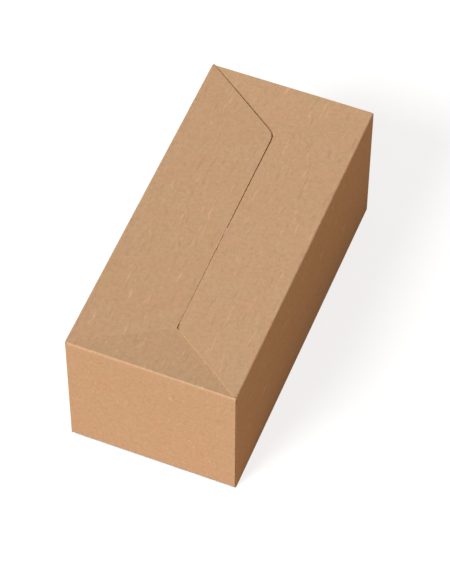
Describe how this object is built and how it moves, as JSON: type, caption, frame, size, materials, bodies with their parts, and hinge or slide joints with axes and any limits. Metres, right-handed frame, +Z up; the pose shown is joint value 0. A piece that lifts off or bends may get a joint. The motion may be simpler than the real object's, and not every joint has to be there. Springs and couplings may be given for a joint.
{
  "type": "folding carton",
  "caption": "Closed rectangular kraft carton with an auto-lock glued base, here facing up, and a hinged tuck lid under it; a hollow box for packing goods.",
  "frame": {"origin": "middle of the rest face, which is the outer face of the closed lid", "axes": "+X across the carton to the lid's hinge, +Y along it, +Z up to the glued base"},
  "size_m": [0.1, 0.214, 0.089],
  "materials": {
    "kraft_board": "matte uncoated kraft"
  },
  "bodies": {
    "carton": {"carton": "kraft_board"},
    "lid": {"lid": "kraft_board"}
  },
  "joints": [
    {"name": "lid_hinge", "type": "hinge", "parent": "carton", "child": "lid", "pos_m": [0.05, 0, 0], "axis": [0, -1, 0], "range_deg": [0, 180]}
  ]
}
